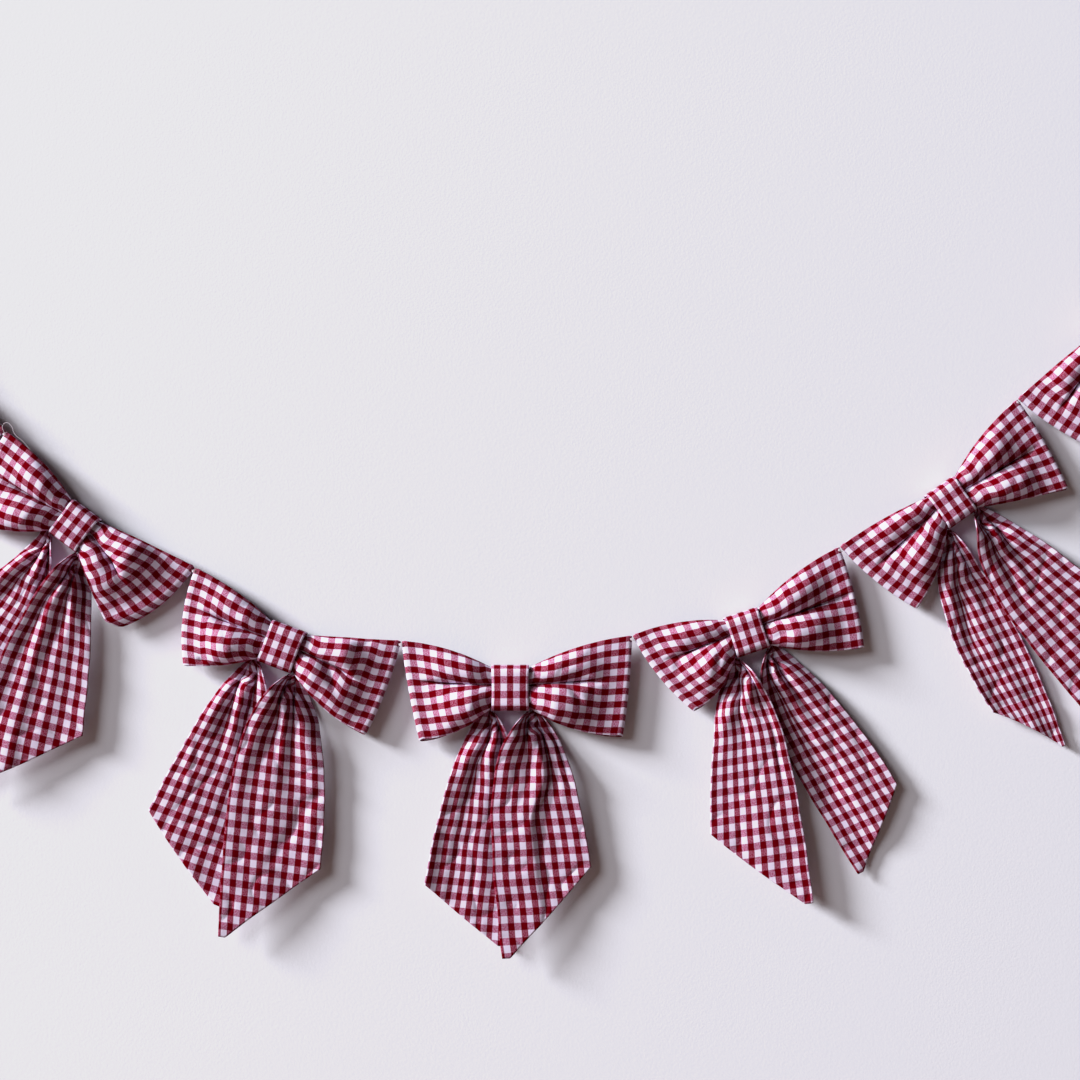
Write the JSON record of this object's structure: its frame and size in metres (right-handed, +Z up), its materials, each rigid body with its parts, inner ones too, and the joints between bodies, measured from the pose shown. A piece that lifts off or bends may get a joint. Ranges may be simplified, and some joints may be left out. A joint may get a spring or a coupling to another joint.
{
  "type": "bow garland",
  "caption": "Hanging garland of checked cotton bows sewn corner to corner, each with pinched loops, a band round its middle and two slanted tails.",
  "frame": {"origin": "the garland's right top corner, on the wall behind it", "axes": "+Z up, +X along the garland to the right as seen from the front, -Y towards the viewer, with the wall at y = 0"},
  "size_m": [1.5356, 0.0315, 0.7158],
  "materials": {
    "loop_cotton": "matte red and white gingham cotton",
    "tail_cotton": "matte red and white gingham cotton",
    "band_cotton": "matte red and white gingham cotton"
  },
  "bodies": {
    "root": {"bow_1_loops": "loop_cotton", "bow_1_tails": "tail_cotton", "bow_1_band": "band_cotton", "bow_2_loops": "loop_cotton", "bow_2_tails": "tail_cotton", "bow_2_band": "band_cotton", "bow_3_loops": "loop_cotton", "bow_3_tails": "tail_cotton", "bow_3_band": "band_cotton", "bow_4_loops": "loop_cotton", "bow_4_tails": "tail_cotton", "bow_4_band": "band_cotton", "bow_5_loops": "loop_cotton", "bow_5_tails": "tail_cotton", "bow_5_band": "band_cotton", "bow_6_loops": "loop_cotton", "bow_6_tails": "tail_cotton", "bow_6_band": "band_cotton", "bow_7_loops": "loop_cotton", "bow_7_tails": "tail_cotton", "bow_7_band": "band_cotton"}
  },
  "joints": []
}
